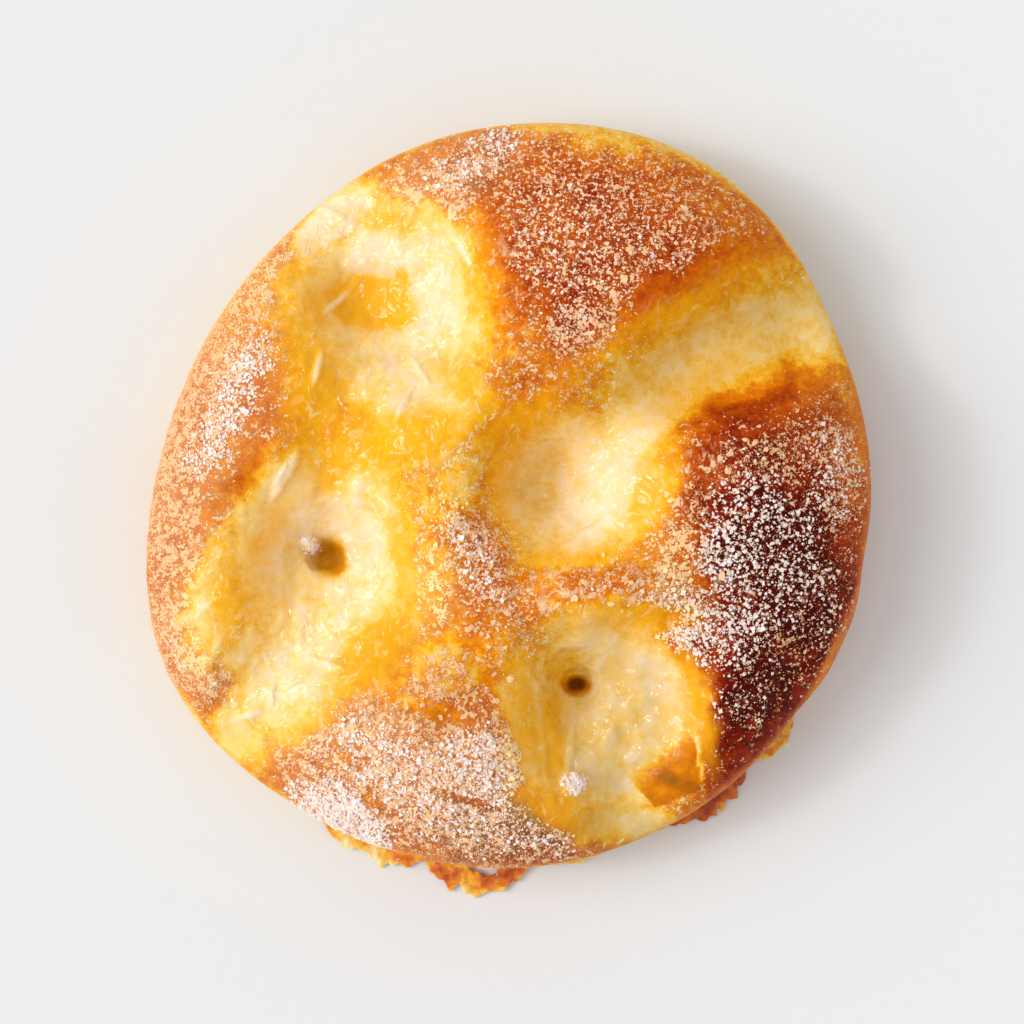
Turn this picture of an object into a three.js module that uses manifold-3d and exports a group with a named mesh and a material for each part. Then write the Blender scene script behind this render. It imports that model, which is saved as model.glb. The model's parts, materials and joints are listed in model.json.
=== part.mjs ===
// A flat round sugar brioche: one piece of risen dough with hollows pressed into its crown,
// two finger holes, craggy sugar crust and thin flakes of run-out caramel round its foot.
// Millimetres, +Z up. The origin is the middle of the bounding box, at the flat underside.
import * as THREE from "three";
import { ImprovedNoise } from "three/addons/math/ImprovedNoise.js";
import { mergeVertices } from "three/addons/utils/BufferGeometryUtils.js";
import Module from "manifold-3d";

// Overall form of the dough
const MEAN_RADIUS = 65.7;
const CROWN_HEIGHT = 35;
const WIDEST_HEIGHT = 10.5; // height at which the side bulges out furthest
const FOOT_TUCK = 5; // how far the foot lies inside the widest outline
const SHOULDER_FULLNESS = 0.8; // under 1 the crown is flatter and its shoulder fuller than an ellipse
const CROWN_SHARE = 0.84; // share of the meridian that runs from the middle to the widest place

// The dough spread unevenly on its tray: waves round the outline, with the angle of one crest
const OUTLINE_WAVES = [
  { crests: 1, swing: 0.8, crestAt: -37 },
  { crests: 2, swing: 2.8, crestAt: 57 },
  { crests: 3, swing: 1.2, crestAt: -41 },
  { crests: 4, swing: 0.3, crestAt: 26 },
  { crests: 5, swing: 0.5, crestAt: -9 },
  { crests: 7, swing: 0.25, crestAt: 3 },
];

// Hollows pressed into the crown. Each is an oval: its middle, half length, half width, the turn of
// its length from +X in degrees, and the share of the crown's rise that it takes away.
const HOLLOWS = {
  upperLeft: { x: -21, y: 35, long: 21, wide: 18, turn: 100, sink: 0.5 },
  upperLeftCore: { x: -25, y: 34.5, long: 9, wide: 7.5, turn: 0, sink: 0.34 },
  upperLeftLip: { x: -31, y: 50, long: 13, wide: 9, turn: 35, sink: 0.28 },
  left: { x: -33, y: -14, long: 23, wide: 16.5, turn: 75, sink: 0.52 },
  leftCore: { x: -34, y: -11, long: 9.5, wide: 8, turn: 45, sink: 0.34 },
  leftLip: { x: -45, y: -36, long: 15, wide: 9, turn: 55, sink: 0.34 },
  centre: { x: 10, y: 2, long: 17, wide: 13.5, turn: 20, sink: 0.46 },
  centreCore: { x: 5, y: 3.5, long: 9, wide: 8, turn: -30, sink: 0.34 },
  lower: { x: 17.5, y: -39, long: 20, wide: 17.5, turn: -60, sink: 0.5 },
  lowerCore: { x: 12, y: -35, long: 8, wide: 7, turn: -40, sink: 0.3 },
  lowerLip: { x: 21, y: -57, long: 12, wide: 9, turn: 80, sink: 0.34 },
  rightValley: { x: 39, y: 23.5, long: 29, wide: 11.5, turn: 24, sink: 0.44 },
  rightValleyMouth: { x: 56, y: 32, long: 13, wide: 11, turn: 60, sink: 0.3 },
  betweenLeftPits: { x: -29, y: 11, long: 12, wide: 9, turn: 80, sink: 0.18 },
};

// Lobes of dough that rose between the hollows, as ovals with the share by which the crown swells
const LOBES = {
  top: { x: 16, y: 44, long: 30, wide: 18, turn: -12, swell: 0.12 },
  right: { x: 46, y: -10, long: 28, wide: 19, turn: 78, swell: 0.14 },
  rightBrow: { x: 46, y: 13.5, long: 16, wide: 5, turn: 14, swell: 0.14 },
  lowerLeft: { x: -19, y: -49, long: 27, wide: 14, turn: -22, swell: 0.14 },
  leftRim: { x: -52, y: 13, long: 24, wide: 10, turn: 68, swell: 0.1 },
  middleRidge: { x: -7, y: -15, long: 20, wide: 10, turn: -62, swell: 0.08 },
  lowerBridge: { x: 17, y: -17, long: 14, wide: 5.5, turn: 12, swell: 0.16 },
  centreLump: { x: 18.5, y: 1.5, long: 7.5, wide: 6, turn: 35, swell: 0.22 },
  leftShelf: { x: -13, y: 14, long: 11, wide: 8, turn: 40, swell: 0.1 },
};
const OVAL_EDGE = 1.35; // an oval fades out at this many times its half sizes
const OVAL_FLAT = 0.2; // and keeps its full effect out to this many

// Plates of sugar crust that lifted as they baked, with their height above the dough
const CRUST_PLATES = [
  { x: -11.5, y: -31, long: 6, wide: 4.5, turn: 20, rise: 1.6 },
  { x: -3, y: -22, long: 7, wide: 4.5, turn: -50, rise: 0.9 },
  { x: -17, y: -41, long: 8, wide: 4, turn: 35, rise: 0.9 },
  { x: 14.5, y: -21, long: 4, wide: 3, turn: 70, rise: 0.8 },
  { x: -51, y: 4, long: 8, wide: 4, turn: 70, rise: 0.8 },
];

// Unevenness all over the dough, the crags of its sugar crust and the wrinkles of its moist hollows.
// Each is a slice of smooth noise: the distance between bumps, their height and which slice it takes.
const DOUGH_WAVE = { length: 17, height: 0.9, slice: 0.5 };
const CRUST_CRAG = { length: 5.2, height: 0.75, slice: 3.5 };
const WET_WRINKLE = { length: 4.6, height: 0.4, slice: 7.5 };

// Finger holes in two of the hollows: middle, radius at the mouth, depth and stretch along X
const FINGER_HOLES = [
  { x: -33, y: -10.5, mouth: 2.7, depth: 8, stretch: 1.05 },
  { x: 12.3, y: -33.4, mouth: 1.7, depth: 8.5, stretch: 1.6 },
];
const HOLE_SECTION = [
  { down: 1, radius: 0.4 }, // shares of the hole's depth and of its mouth, from the bottom up
  { down: 0.85, radius: 0.55 },
  { down: 0.3, radius: 0.85 },
  { down: 0, radius: 1 },
];
const HOLE_FLARE = 1.25; // radius to which the cut widens above the skin
const HOLE_SIDES = 20;

// Flakes of caramel that ran out at the foot: the angles that each spans, how far it reaches past the
// outline, how many teeth its edge has, and the gap in the one that set as a loop
const CARAMEL_FLAKES = [
  { from: 240, to: 258, reach: 5.6, teeth: 7 },
  { from: 256.5, to: 273, reach: 8.2, teeth: 6, gap: { from: 263.3, to: 268.3, inner: -1.5, outer: 3.2 } },
  { from: 296, to: 311, reach: 4.8, teeth: 8 },
  { from: 313, to: 322, reach: 4.2, teeth: 4 },
  { from: 276, to: 285, reach: 2.4, teeth: 4 },
];
const FLAKE_GRIP = 8; // how far a flake reaches in under the outline, where the foot holds it
const FLAKE_THICKNESS = 1.3;
const FLAKE_LIFT = 0.4; // height of its underside
const FLAKE_RAGGED = { mean: 0.72, coarse: 0.45, fine: 0.3, fineTeeth: 2.6 }; // shares of its reach
const FLAKE_STEPS = 24;
const GAP_STEPS = 6;

// Mesh fineness
const SHEET_CELLS = 64; // cells along each side of the sheet that is wrapped into the crown
const MERGE_GAP = 1e-4;
const HALVINGS = 30; // rounds of the search for a place on the meridian

const noise = new ImprovedNoise();
const wasm = await Module();
wasm.setup();

function outlineRadius(angle) {
  let radius = MEAN_RADIUS;
  for (const { crests, swing, crestAt } of OUTLINE_WAVES) {
    radius += swing * Math.cos(crests * (angle - THREE.MathUtils.degToRad(crestAt)));
  }
  return radius;
}

// 1 in the middle of an oval, falling smoothly to 0 past its edge
function ovalShare(oval, x, y) {
  const turn = THREE.MathUtils.degToRad(oval.turn);
  const along = (x - oval.x) * Math.cos(turn) + (y - oval.y) * Math.sin(turn);
  const across = (y - oval.y) * Math.cos(turn) - (x - oval.x) * Math.sin(turn);
  const away = Math.hypot(along / oval.long, across / oval.wide);
  return 1 - THREE.MathUtils.smootherstep(away, OVAL_FLAT, OVAL_EDGE);
}

// Share of the crown's rise that the hollows leave at a place
function hollowsLeave(x, y) {
  let left = 1;
  for (const hollow of Object.values(HOLLOWS)) {
    left *= 1 - hollow.sink * ovalShare(hollow, x, y);
  }
  return left;
}

function lobesSwell(x, y) {
  let swell = 1;
  for (const lobe of Object.values(LOBES)) {
    swell += lobe.swell * ovalShare(lobe, x, y);
  }
  return swell;
}

function bumps({ length, height, slice }, x, y) {
  return height * noise.noise(x / length, y / length, slice);
}

// Height of the fine forms on the skin: crags where the hollows leave the crown whole, wrinkles in them
function relief(x, y, left) {
  let height = bumps(DOUGH_WAVE, x, y);
  height += bumps(CRUST_CRAG, x, y) * left;
  height += bumps(WET_WRINKLE, x, y) * (1 - left);
  for (const plate of CRUST_PLATES) {
    height += plate.rise * ovalShare(plate, x, y);
  }
  return height;
}

// Half of the dough's plain section, from the middle of the crown over the shoulder and down to the foot.
// x is the distance out where the outline has its mean radius, and y is the height.
class Meridian extends THREE.Curve {
  getPoint(t, point = new THREE.Vector2()) {
    if (t <= CROWN_SHARE) {
      const lean = (Math.PI / 2) * (t / CROWN_SHARE);
      const rise = (CROWN_HEIGHT - WIDEST_HEIGHT) * Math.max(0, Math.cos(lean)) ** SHOULDER_FULLNESS;
      return point.set(MEAN_RADIUS * Math.sin(lean), WIDEST_HEIGHT + rise);
    }
    const lean = (Math.PI / 2) * ((t - CROWN_SHARE) / (1 - CROWN_SHARE));
    return point.set(
      MEAN_RADIUS - FOOT_TUCK * (1 - Math.cos(lean)),
      WIDEST_HEIGHT * (1 - Math.sin(lean)),
    );
  }
}
const meridian = new Meridian();

// A place on the dough's skin: `reach` runs from 0 at the middle of the crown to 1 at the foot
function skinPoint(reach, angle) {
  const section = meridian.getPointAt(reach);
  const out = section.x * (outlineRadius(angle) / MEAN_RADIUS);
  const x = out * Math.cos(angle);
  const y = out * Math.sin(angle);
  if (section.y <= WIDEST_HEIGHT) {
    return new THREE.Vector3(x, y, section.y);
  }
  const rise = section.y - WIDEST_HEIGHT;
  const crownShare = rise / (CROWN_HEIGHT - WIDEST_HEIGHT);
  const left = hollowsLeave(x, y);
  const crown = rise * left * lobesSwell(x, y);
  return new THREE.Vector3(x, y, WIDEST_HEIGHT + crown + relief(x, y, left) * Math.sqrt(crownShare));
}

// A square sheet wrapped over the crown and down to the foot, each square ring of it becoming a round one,
// and closed underneath by a flat fan. Each cell is split along the line that points at the middle.
function doughGeometry() {
  const sheet = new THREE.PlaneGeometry(2, 2, SHEET_CELLS, SHEET_CELLS);
  const places = sheet.getAttribute("position");
  for (let i = 0; i < places.count; i++) {
    const u = places.getX(i);
    const v = places.getY(i);
    const reach = Math.max(Math.abs(u), Math.abs(v));
    const eighth = Math.PI / 4;
    let angle = 0;
    if (reach > 0 && Math.abs(u) >= Math.abs(v)) {
      angle = eighth * (v / u) + (u < 0 ? Math.PI : 0);
    } else if (reach > 0) {
      angle = Math.PI / 2 - eighth * (u / v) + (v < 0 ? Math.PI : 0);
    }
    const point = skinPoint(reach, angle);
    places.setXYZ(i, point.x, point.y, point.z);
  }

  const row = SHEET_CELLS + 1;
  const faces = [];
  for (let across = 0; across < SHEET_CELLS; across++) {
    for (let down = 0; down < SHEET_CELLS; down++) {
      const a = across + row * down;
      const b = a + row;
      const c = b + 1;
      const d = a + 1;
      const towardsMiddle = across < SHEET_CELLS / 2 === down < SHEET_CELLS / 2;
      faces.push(...(towardsMiddle ? [a, b, c, a, c, d] : [a, b, d, b, c, d]));
    }
  }
  const rim = [];
  for (let i = 0; i < SHEET_CELLS; i++) rim.push(i);
  for (let i = 0; i < SHEET_CELLS; i++) rim.push(i * row + SHEET_CELLS);
  for (let i = SHEET_CELLS; i > 0; i--) rim.push(SHEET_CELLS * row + i);
  for (let i = SHEET_CELLS; i > 0; i--) rim.push(i * row);
  const middle = places.count;
  const fan = rim.flatMap((corner, i) => [middle, corner, rim[(i + 1) % rim.length]]);

  const dough = new THREE.BufferGeometry();
  dough.setAttribute("position", new THREE.Float32BufferAttribute([...places.array, 0, 0, 0], 3));
  dough.setIndex([...faces, ...fan]);
  return dough;
}

// A tapered plug that is taken out of the dough where a finger went in
function holeGeometry({ x, y, mouth, depth, stretch }) {
  const surface = skinHeight(x, y);
  const above = CROWN_HEIGHT - surface;
  const wall = HOLE_SECTION.map(({ down, radius }) => new THREE.Vector2(mouth * radius, -depth * down));
  const profile = [
    new THREE.Vector2(0, -depth),
    ...wall,
    new THREE.Vector2(mouth * HOLE_FLARE, above),
    new THREE.Vector2(0, above),
  ];
  return new THREE.LatheGeometry(profile, HOLE_SIDES)
    .rotateX(Math.PI / 2)
    .scale(stretch, 1, 1)
    .translate(x, y, surface);
}

// Height of the skin over a place well inside the outline
function skinHeight(x, y) {
  const angle = Math.atan2(y, x);
  const share = Math.hypot(x, y) / outlineRadius(angle);
  let low = 0;
  let high = CROWN_SHARE;
  for (let i = 0; i < HALVINGS; i++) {
    const half = (low + high) / 2;
    if (meridian.getPointAt(half).x / MEAN_RADIUS < share) low = half;
    else high = half;
  }
  return skinPoint(low, angle).z;
}

function aroundFoot(degrees, past) {
  const angle = THREE.MathUtils.degToRad(degrees);
  const radius = outlineRadius(angle) + past;
  return new THREE.Vector2(radius * Math.cos(angle), radius * Math.sin(angle));
}

// How far out a span of the foot bulges, from 0 at its ends to 1 in its middle
function bulge(share) {
  return Math.sqrt(Math.max(0, Math.sin(Math.PI * share)));
}

// A thin ragged flake that grips the foot and reaches out past the outline
function flakeGeometry({ from, to, reach, teeth, gap }) {
  const { mean, coarse, fine, fineTeeth } = FLAKE_RAGGED;
  const outer = [];
  const inner = [];
  for (let i = 0; i <= FLAKE_STEPS; i++) {
    const share = i / FLAKE_STEPS;
    const degrees = from + (to - from) * share;
    const along = share * teeth;
    const coarseTeeth = coarse * noise.noise(along, from, reach);
    const ragged = mean + coarseTeeth + fine * noise.noise(along * fineTeeth, from, reach);
    outer.push(aroundFoot(degrees, reach * bulge(share) * ragged));
    inner.unshift(aroundFoot(degrees, -FLAKE_GRIP));
  }
  const outline = new THREE.Shape([...outer, ...inner]);
  if (gap) {
    const corners = [];
    for (let i = 0; i <= GAP_STEPS; i++) {
      const share = i / GAP_STEPS;
      const degrees = gap.from + (gap.to - gap.from) * share;
      corners.push(aroundFoot(degrees, gap.inner + (gap.outer - gap.inner) * bulge(share)));
    }
    outline.holes.push(new THREE.Path(corners));
  }
  const slab = new THREE.ExtrudeGeometry(outline, { depth: FLAKE_THICKNESS, bevelEnabled: false });
  return slab.translate(0, 0, FLAKE_LIFT);
}

// A closed geometry as a solid, with its shared corners merged and its collapsed triangles dropped
function solidOf(geometry) {
  const bare = new THREE.BufferGeometry();
  bare.setAttribute("position", geometry.getAttribute("position"));
  bare.setIndex(geometry.getIndex());
  const merged = mergeVertices(bare, MERGE_GAP);
  const corners = merged.getIndex().array;
  const triangles = [];
  for (let i = 0; i < corners.length; i += 3) {
    const [a, b, c] = corners.subarray(i, i + 3);
    if (a !== b && b !== c && c !== a) triangles.push(a, b, c);
  }
  return new wasm.Manifold(
    new wasm.Mesh({
      numProp: 3,
      vertProperties: merged.getAttribute("position").array,
      triVerts: new Uint32Array(triangles),
    }),
  );
}

function geometryOf(solid) {
  const mesh = solid.getMesh();
  const geometry = new THREE.BufferGeometry();
  geometry.setAttribute("position", new THREE.BufferAttribute(mesh.vertProperties, 3));
  geometry.setIndex(new THREE.BufferAttribute(mesh.triVerts, 1));
  return geometry;
}

// Moves the geometry so that its bounding box is centred on the origin and stands on Z = 0
function standOnOrigin(geometry) {
  geometry.computeBoundingBox();
  const box = geometry.boundingBox;
  const middle = box.getCenter(new THREE.Vector3());
  return geometry.translate(-middle.x, -middle.y, -box.min.z);
}

function makeBrioche() {
  let solid = solidOf(doughGeometry());
  for (const hole of FINGER_HOLES) {
    solid = solid.subtract(solidOf(holeGeometry(hole)));
  }
  for (const flake of CARAMEL_FLAKES) {
    solid = solid.add(solidOf(flakeGeometry(flake)));
  }
  const geometry = standOnOrigin(geometryOf(solid));
  geometry.computeVertexNormals();
  const crust = new THREE.MeshStandardMaterial({ color: 0xd9923c, roughness: 0.55, metalness: 0 });
  const brioche = new THREE.Mesh(geometry, crust);
  brioche.name = "brioche";
  return brioche;
}

const part = new THREE.Group();
part.add(makeBrioche());

export default part;
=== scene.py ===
"""A flat sugar brioche: browned dough with moist hollows, sugar crust and caramel flakes."""
import json
import math
from collections import namedtuple

import bpy
import numpy as np
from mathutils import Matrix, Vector

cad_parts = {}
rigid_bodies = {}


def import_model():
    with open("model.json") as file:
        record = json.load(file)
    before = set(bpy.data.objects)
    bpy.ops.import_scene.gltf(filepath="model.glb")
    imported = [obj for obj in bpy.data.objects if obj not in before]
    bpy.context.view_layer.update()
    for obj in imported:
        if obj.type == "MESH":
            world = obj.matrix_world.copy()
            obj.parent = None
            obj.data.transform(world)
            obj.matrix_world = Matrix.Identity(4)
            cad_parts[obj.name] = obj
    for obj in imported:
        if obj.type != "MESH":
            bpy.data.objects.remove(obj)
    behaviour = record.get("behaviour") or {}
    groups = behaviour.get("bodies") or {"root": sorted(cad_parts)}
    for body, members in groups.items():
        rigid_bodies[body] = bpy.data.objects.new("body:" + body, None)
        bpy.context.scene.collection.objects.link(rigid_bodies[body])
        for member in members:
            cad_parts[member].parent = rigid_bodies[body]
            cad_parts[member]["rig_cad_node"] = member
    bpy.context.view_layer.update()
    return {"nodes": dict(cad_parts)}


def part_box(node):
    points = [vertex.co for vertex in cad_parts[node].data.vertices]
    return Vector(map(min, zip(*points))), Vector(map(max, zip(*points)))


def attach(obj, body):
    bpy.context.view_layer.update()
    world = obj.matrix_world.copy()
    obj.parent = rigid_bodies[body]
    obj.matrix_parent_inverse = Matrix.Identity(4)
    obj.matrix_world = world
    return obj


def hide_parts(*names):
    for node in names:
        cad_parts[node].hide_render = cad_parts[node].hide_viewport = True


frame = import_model()

# Sizes of the dough, in metres
MM = 0.001
WIDEST_HEIGHT = 10.5 * MM  # where the side bulges out furthest
FOOT_TUCK = 5 * MM  # how far the foot lies inside the widest outline
LEFT_REACH = 65.04 * MM  # from the dough's middle to its left edge
BACK_REACH = 67.19 * MM  # and to its back edge

# The picture is square, and its scale is that of the plane where the dough is widest
PICTURE_WIDTH = 184.32 * MM
PICTURE_MIDDLE = (0.54 * MM, -2.7 * MM)  # from the dough's middle
LENS = 100
SENSOR = 36
CAMERA_DISTANCE = PICTURE_WIDTH * LENS / SENSOR

# Mesh fineness
CRUST_CELL = 0.8 * MM
SEED = 7

# Heights of the relief, in millimetres
SHRED_HEIGHT = 0.2
STRAND_HEIGHT = 0.5
FLAP_HEIGHT = 0.2
CLUMP_HEIGHT = 1.2
CRUMB_HEIGHT = 0.7
SWELLING = 1.3
FUNNEL_DEPTH = 1.1

# How far the dough is browned, from 0 for cream to 1 for mahogany; the same scale also carries painted
# shade in the hollows, the valley and the finger holes
CRUST_BAKE = 0.48
MOIST_BAKE = 0.06
# Bright cream of strands and the flap's rim, and partly painted highlight on wet lumps
BRIGHT_BAKE = 0.04
AMBER_BAKE = 0.3
CRUMB_BAKE = 0.26
FLAP_BAKE = 0.62
# Painted shade inside the finger holes, on the browning scale
HOLE_SHADE_BAKE = 0.42
SIDE_BAKE = 0.18
UNDERSIDE_BAKE = 0.62

# Sugar: the size of its grains in millimetres, how flat and how uneven they are, how many lie on a
# square millimetre where they are thickest, how much they lie in chains, and their random seed
Grain = namedtuple("Grain", "size flatness rough density chained seed")
WHITE_GRAIN = Grain(0.36, 0.8, 0.3, 3.6, 1, SEED)
TOASTED_GRAIN = Grain(0.36, 0.7, 0.3, 4, 0.8, SEED + 1)
SUGAR_LUMP = Grain(0.9, 0.3, 0.6, 0.3, 0, SEED + 2)
FINE_GRAIN = Grain(0.27, 0.8, 0.3, 4, 0.5, SEED + 3)
CLUMP_DENSITY = 12  # white grains on a square millimetre of a clump

box_low, box_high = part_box("brioche")
dough_middle = Vector((box_low.x + LEFT_REACH, box_high.y - BACK_REACH, 0))

# Places on the crown, as ovals in millimetres from the dough's middle as seen from above: half length,
# half width, turn of the length from +X in degrees, softness of the edge, and how strong its effect is
Patch = namedtuple("Patch", "x y long wide turn soft amount")

PALE = [  # dough that stayed pale
    Patch(-21.4, 34.6, 19, 16.4, 90, 0.5, 1),  # upper left hollow
    Patch(-15.5, 18.4, 10, 7, 0, 0.6, 0.9),
    Patch(-31.8, 50.2, 9, 4.6, 40, 0.5, 1),
    Patch(-33.8, -10.6, 17.5, 15.5, 90, 0.42, 1),  # left hollow
    Patch(-37.6, -30.6, 15, 8.4, 43, 0.55, 0.95),
    Patch(-48.4, -44, 5.4, 3.2, -48, 0.6, 0.8),
    Patch(-53.5, -19.5, 11.5, 4.6, 82, 0.9, 0.72),
    Patch(-48, -27.5, 6, 3.6, 60, 0.8, 0.85),
    Patch(12, 1.8, 15, 12.6, 10, 0.42, 1),  # centre hollow
    Patch(24, 13, 10, 6, 25, 0.6, 0.95),
    Patch(38.9, 27.6, 24, 7.6, 26, 0.7, 0.86),  # right valley
    Patch(55, 31.9, 8, 7.5, 0, 0.6, 0.85),
    Patch(17.3, -40.5, 18.6, 16.6, 90, 0.36, 1),  # lower hollow
    Patch(20, -59, 8.6, 4.2, 0, 0.6, 0.9),
    Patch(14, 65, 27, 2.6, -9, 0.9, 0.5),  # back rim
    Patch(-13.5, -17, 9, 5, 88, 0.8, 0.5),  # middle ridge
    Patch(-11, 3, 10, 6, 60, 0.8, 0.5),
    Patch(-19.6, -33, 6, 5, 0, 0.8, 0.25),  # beside the crumb lump
    Patch(30.5, -11, 8, 6, 80, 0.8, 0.3),  # left edge of the right lobe
    Patch(-45, 36, 12, 5, 55, 0.8, 0.3),  # left rim
]
DARK = [  # crust browned beyond the rest
    Patch(13, 46, 24, 16, -15, 0.6, 0.21),  # top lobe
    Patch(20, 48, 17, 10, -22, 0.8, 0.26),
    Patch(13, 37, 9, 8, 60, 0.8, 0.26),
    Patch(48.5, -14, 29, 15.5, 105, 0.5, 0.38),  # right lobe
    Patch(52, -14, 25, 11, 103, 0.9, 0.56),
    Patch(44, 11, 14, 7, 14, 0.7, 0.32),
    Patch(45, -34, 16, 9, 60, 0.8, 0.54),
    Patch(35, -28, 8, 7, -40, 0.8, 0.24),
    Patch(-46.6, 2.6, 5.6, 4, 55, 0.6, 0.2),  # shelf by the left hollow
    Patch(3, -60, 18, 8, 0, 0.8, 0.3),  # lower left lobe
]
AMBER = [  # amber glaze of butter and sugar
    Patch(-25.4, 35, 8.4, 5, -10, 0.45, 1),  # upper left hollow
    Patch(-19.6, 35.8, 6, 1.7, 90, 0.35, 1),
    Patch(-36, 31, 8.5, 4, 72, 0.9, 0.8),
    Patch(-35, 18, 9, 5, 80, 0.8, 0.95),
    Patch(-21, 49.6, 6.4, 2.4, -8, 0.9, 0.75),
    Patch(-39, 41, 5.5, 2.4, 52, 0.9, 0.6),
    Patch(-5.4, 38, 14, 2.4, 97, 0.9, 0.45),
    Patch(-8, 19.6, 9, 3.6, -45, 0.9, 0.7),
    Patch(-19.6, 10.2, 13, 5, 20, 0.8, 1),  # shelf between the left hollows
    Patch(-30.4, 8, 9, 4, 60, 0.8, 0.9),
    Patch(-44.6, -8, 13, 2.4, 62, 0.9, 0.55),  # left hollow
    Patch(-51.2, -19, 8, 3, 82, 0.95, 0.85),
    Patch(-19.2, -8, 14, 2, 96, 0.95, 0.65),
    Patch(-24.8, -27.8, 9, 4.6, 45, 0.75, 1),
    Patch(-40, -20.4, 3.6, 0.9, 100, 0.9, 0.5),
    Patch(-43.9, -18, 1.8, 1.3, 0, 0.9, 0.5),
    Patch(-36.5, -41, 8, 2.8, 30, 0.9, 0.6),
    Patch(-48.4, -44, 5.4, 2.2, -48, 0.9, 0.5),
    Patch(25.4, 0.6, 9, 3.6, 65, 0.8, 0.7),  # centre hollow
    Patch(12, -11, 10, 2, 5, 0.9, 0.7),
    Patch(1.6, 13.6, 8, 3, 32, 0.9, 0.7),
    Patch(-0.7, 4.5, 9, 1.9, 84, 0.9, 0.6),
    Patch(7.4, -42.8, 9.4, 2.9, 92, 0.75, 1),  # lower hollow
    Patch(3, -38.4, 10.5, 3, 100, 0.9, 0.9),
    Patch(9.2, -30.6, 5, 2.6, 30, 0.8, 0.85),
    Patch(9.2, -56.4, 9, 3.2, -25, 0.8, 0.85),
    Patch(34, -37.5, 9, 1.8, 103, 0.8, 0.9),
    Patch(22, -21.8, 10, 2.6, 0, 0.9, 0.8),
    Patch(31, 33.6, 16, 2.6, 28, 0.95, 0.6),  # right valley
    Patch(33, 20, 10, 2.2, 34, 0.95, 0.6),
]
SHADED = [  # pale dough of a deeper yellow: mostly painted shade on the hollows' shaded walls and in the valley, and across the lower hollow its own yellower tone
    Patch(-39, -13, 9, 9, 0, 0.7, 0.6),  # left hollow
    Patch(4.7, 3, 7.5, 9, 0, 0.7, 1),  # centre hollow
    Patch(10, -38, 8, 10, 0, 0.7, 0.9),  # lower hollow
    Patch(14, -55, 9, 4, -10, 0.7, 0.9),
    Patch(19, -42, 12, 14, 0, 0.7, 0.6),
    Patch(-30, 30, 8, 10, 0, 0.7, 1),  # upper left hollow
    Patch(38.9, 28, 24, 8, 26, 0.8, 0.55),  # right valley
]
# The finger holes, and as their amount how much of the solid's depth is kept above a rounded floor
HOLES = [Patch(-32.8, -10.6, 2.9, 2.7, 0, 0.3, 0.55), Patch(12.2, -33.5, 3, 1.9, 0, 0.3, 0.75)]
# Painted shade in them, standing for the shadow of their depth: where it reaches, its darkest part, and
# the dough drawn in round them
HOLE_SHADE = [Patch(-31.9, -11, 3.5, 2.6, 90, 0.45, 0.9), Patch(11.9, -33.7, 2.9, 1.8, -8, 0.35, 1)]
HOLE_SHADE_CORE = [Patch(-30.9, -11.2, 2.9, 1.4, 90, 0.6, 0.9), Patch(11.6, -33.4, 2.6, 1.6, -8, 0.6, 0.85)]
FUNNELS = [Patch(-34.2, -9.8, 4.6, 3.6, 20, 0.8, 1), Patch(10.4, -32.6, 4.4, 2.8, -30, 0.8, 0.8)]
WET = [  # moist and glossy dough
    Patch(-22.7, 35.5, 19.5, 18, 90, 0.3, 1),
    Patch(-31.3, 49.5, 8.1, 4.3, 35, 0.4, 1),
    Patch(-24, 15, 14, 11, 30, 0.5, 0.9),
    Patch(-33.7, -11.3, 18, 17.5, 90, 0.3, 1),
    Patch(-38.5, -31.5, 16, 9, 43, 0.4, 1),
    Patch(-52.9, -18.5, 9.9, 4, 80, 0.6, 0.6),
    Patch(-48, -27.5, 6, 3.6, 60, 0.7, 0.8),
    Patch(13, 2.7, 15, 12.6, 10, 0.3, 0.75),
    Patch(17.3, -40.5, 19.5, 17.5, 90, 0.25, 1),
    Patch(20, -58, 8.1, 4, 0, 0.5, 0.6),
]
SHREDDED = [  # moist dough torn into shreds
    Patch(-14, 34, 8, 15, 0, 0.6, 1),  # upper left hollow
    Patch(-33, 50, 9, 5, 40, 0.6, 0.9),
    Patch(-18, 19, 11, 8, 0, 0.6, 0.9),
    Patch(-36, 27, 5, 10, 0, 0.7, 0.7),
    Patch(-26.5, -9, 5, 13, 0, 0.6, 0.7),  # left hollow
    Patch(-35, -31, 16, 9, 43, 0.6, 0.9),
    Patch(-45, -36, 10, 6, 60, 0.6, 0.9),
]
FLECKED = [  # shreds on drier dough
    Patch(-3, 37, 15, 6, 97, 0.7, 0.5),  # round the upper left hollow
    Patch(-20, 52, 12, 4, 0, 0.7, 0.8),
    Patch(-42, 35, 12, 4, 60, 0.7, 0.8),
    Patch(-6, 15, 10, 8, 0, 0.7, 0.8),
    Patch(-20, 8, 14, 6, 20, 0.7, 0.8),  # shelf between the left hollows
    Patch(-53, -16, 14, 6, 82, 0.7, 1),  # round the left hollow
    Patch(-50, -38, 9, 5, -50, 0.7, 1),
    Patch(-28, -40, 12, 4, 25, 0.7, 0.7),
    Patch(18, -17, 16, 5, 5, 0.7, 0.8),  # bridge over the lower hollow
    Patch(31, 3, 8, 5, 50, 0.7, 0.8),  # left edge of the right lobe
]
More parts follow.
